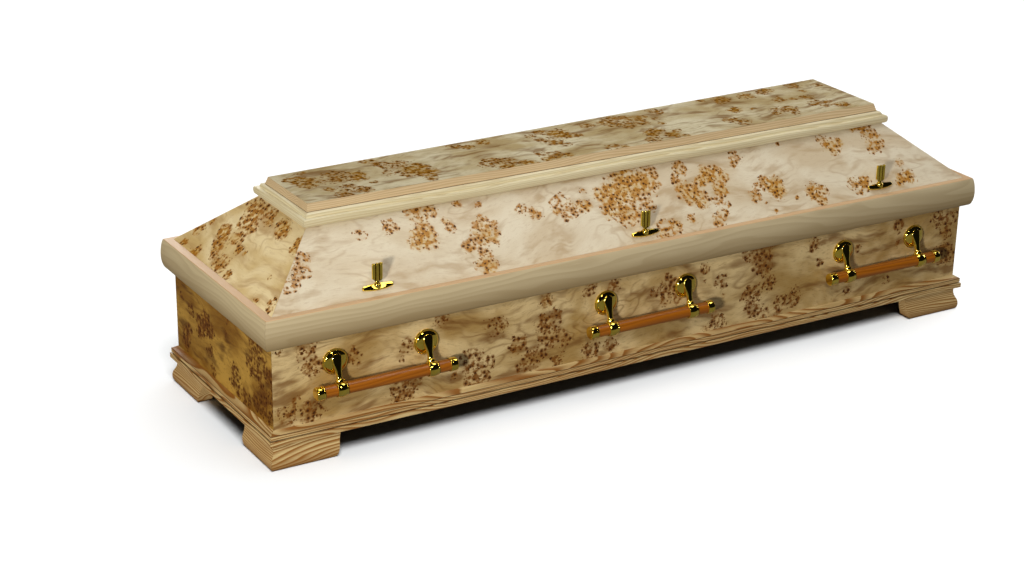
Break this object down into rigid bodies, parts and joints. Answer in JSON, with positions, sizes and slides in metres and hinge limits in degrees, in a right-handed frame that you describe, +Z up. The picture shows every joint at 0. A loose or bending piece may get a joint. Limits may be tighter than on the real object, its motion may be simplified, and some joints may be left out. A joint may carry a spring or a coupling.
{
  "type": "wooden coffin",
  "caption": "Tapered wooden coffin on bracket feet with a raised sloping lid, burl veneer panels, wooden-bar carrying handles on brass brackets and upright brass lid screws",
  "frame": {"origin": "on the floor under the middle of the coffin, at the underside of the feet", "axes": "+X to the wider head end, +Y to the back side, +Z up"},
  "size_m": [2.05, 0.6984, 0.557],
  "materials": {
    "burl_veneer": "pale burl veneer, satin lacquer",
    "plain_board": "plain board, raw",
    "grained_softwood": "strong straight grain, satin lacquer",
    "pale_hardwood": "faint grain, satin lacquer",
    "stained_bar": "reddish brown stain, gloss lacquer",
    "polished_brass": "mirror polished"
  },
  "bodies": {
    "root": {"case_side_front": "burl_veneer", "case_side_back": "burl_veneer", "case_end_foot": "burl_veneer", "case_end_head": "burl_veneer", "lid_slope_front": "burl_veneer", "lid_slope_back": "burl_veneer", "lid_slope_foot": "burl_veneer", "lid_slope_head": "burl_veneer", "lid_top_panel": "burl_veneer", "case_floor": "plain_board", "base_moulding": "grained_softwood", "bracket_foot_front_foot_end": "grained_softwood", "bracket_foot_front_head_end": "grained_softwood", "bracket_foot_back_head_end": "grained_softwood", "bracket_foot_back_foot_end": "grained_softwood", "lid_rim": "pale_hardwood", "lid_upper_moulding": "pale_hardwood", "front_foot_handle_bar": "stained_bar", "front_foot_handle_bracket_a": "polished_brass", "front_foot_handle_cap_a": "polished_brass", "front_foot_handle_bracket_b": "polished_brass", "front_foot_handle_cap_b": "polished_brass", "front_foot_lid_screw": "polished_brass", "front_foot_lid_screw_plate": "polished_brass", "front_middle_handle_bar": "stained_bar", "front_middle_handle_bracket_a": "polished_brass", "front_middle_handle_cap_a": "polished_brass", "front_middle_handle_bracket_b": "polished_brass", "front_middle_handle_cap_b": "polished_brass", "front_middle_lid_screw": "polished_brass", "front_middle_lid_screw_plate": "polished_brass", "front_head_handle_bar": "stained_bar", "front_head_handle_bracket_a": "polished_brass", "front_head_handle_cap_a": "polished_brass", "front_head_handle_bracket_b": "polished_brass", "front_head_handle_cap_b": "polished_brass", "front_head_lid_screw": "polished_brass", "front_head_lid_screw_plate": "polished_brass", "back_foot_handle_bar": "stained_bar", "back_foot_handle_bracket_a": "polished_brass", "back_foot_handle_cap_a": "polished_brass", "back_foot_handle_bracket_b": "polished_brass", "back_foot_handle_cap_b": "polished_brass", "back_foot_lid_screw": "polished_brass", "back_foot_lid_screw_plate": "polished_brass", "back_middle_handle_bar": "stained_bar", "back_middle_handle_bracket_a": "polished_brass", "back_middle_handle_cap_a": "polished_brass", "back_middle_handle_bracket_b": "polished_brass", "back_middle_handle_cap_b": "polished_brass", "back_middle_lid_screw": "polished_brass", "back_middle_lid_screw_plate": "polished_brass", "back_head_handle_bar": "stained_bar", "back_head_handle_bracket_a": "polished_brass", "back_head_handle_cap_a": "polished_brass", "back_head_handle_bracket_b": "polished_brass", "back_head_handle_cap_b": "polished_brass", "back_head_lid_screw": "polished_brass", "back_head_lid_screw_plate": "polished_brass"}
  },
  "joints": []
}
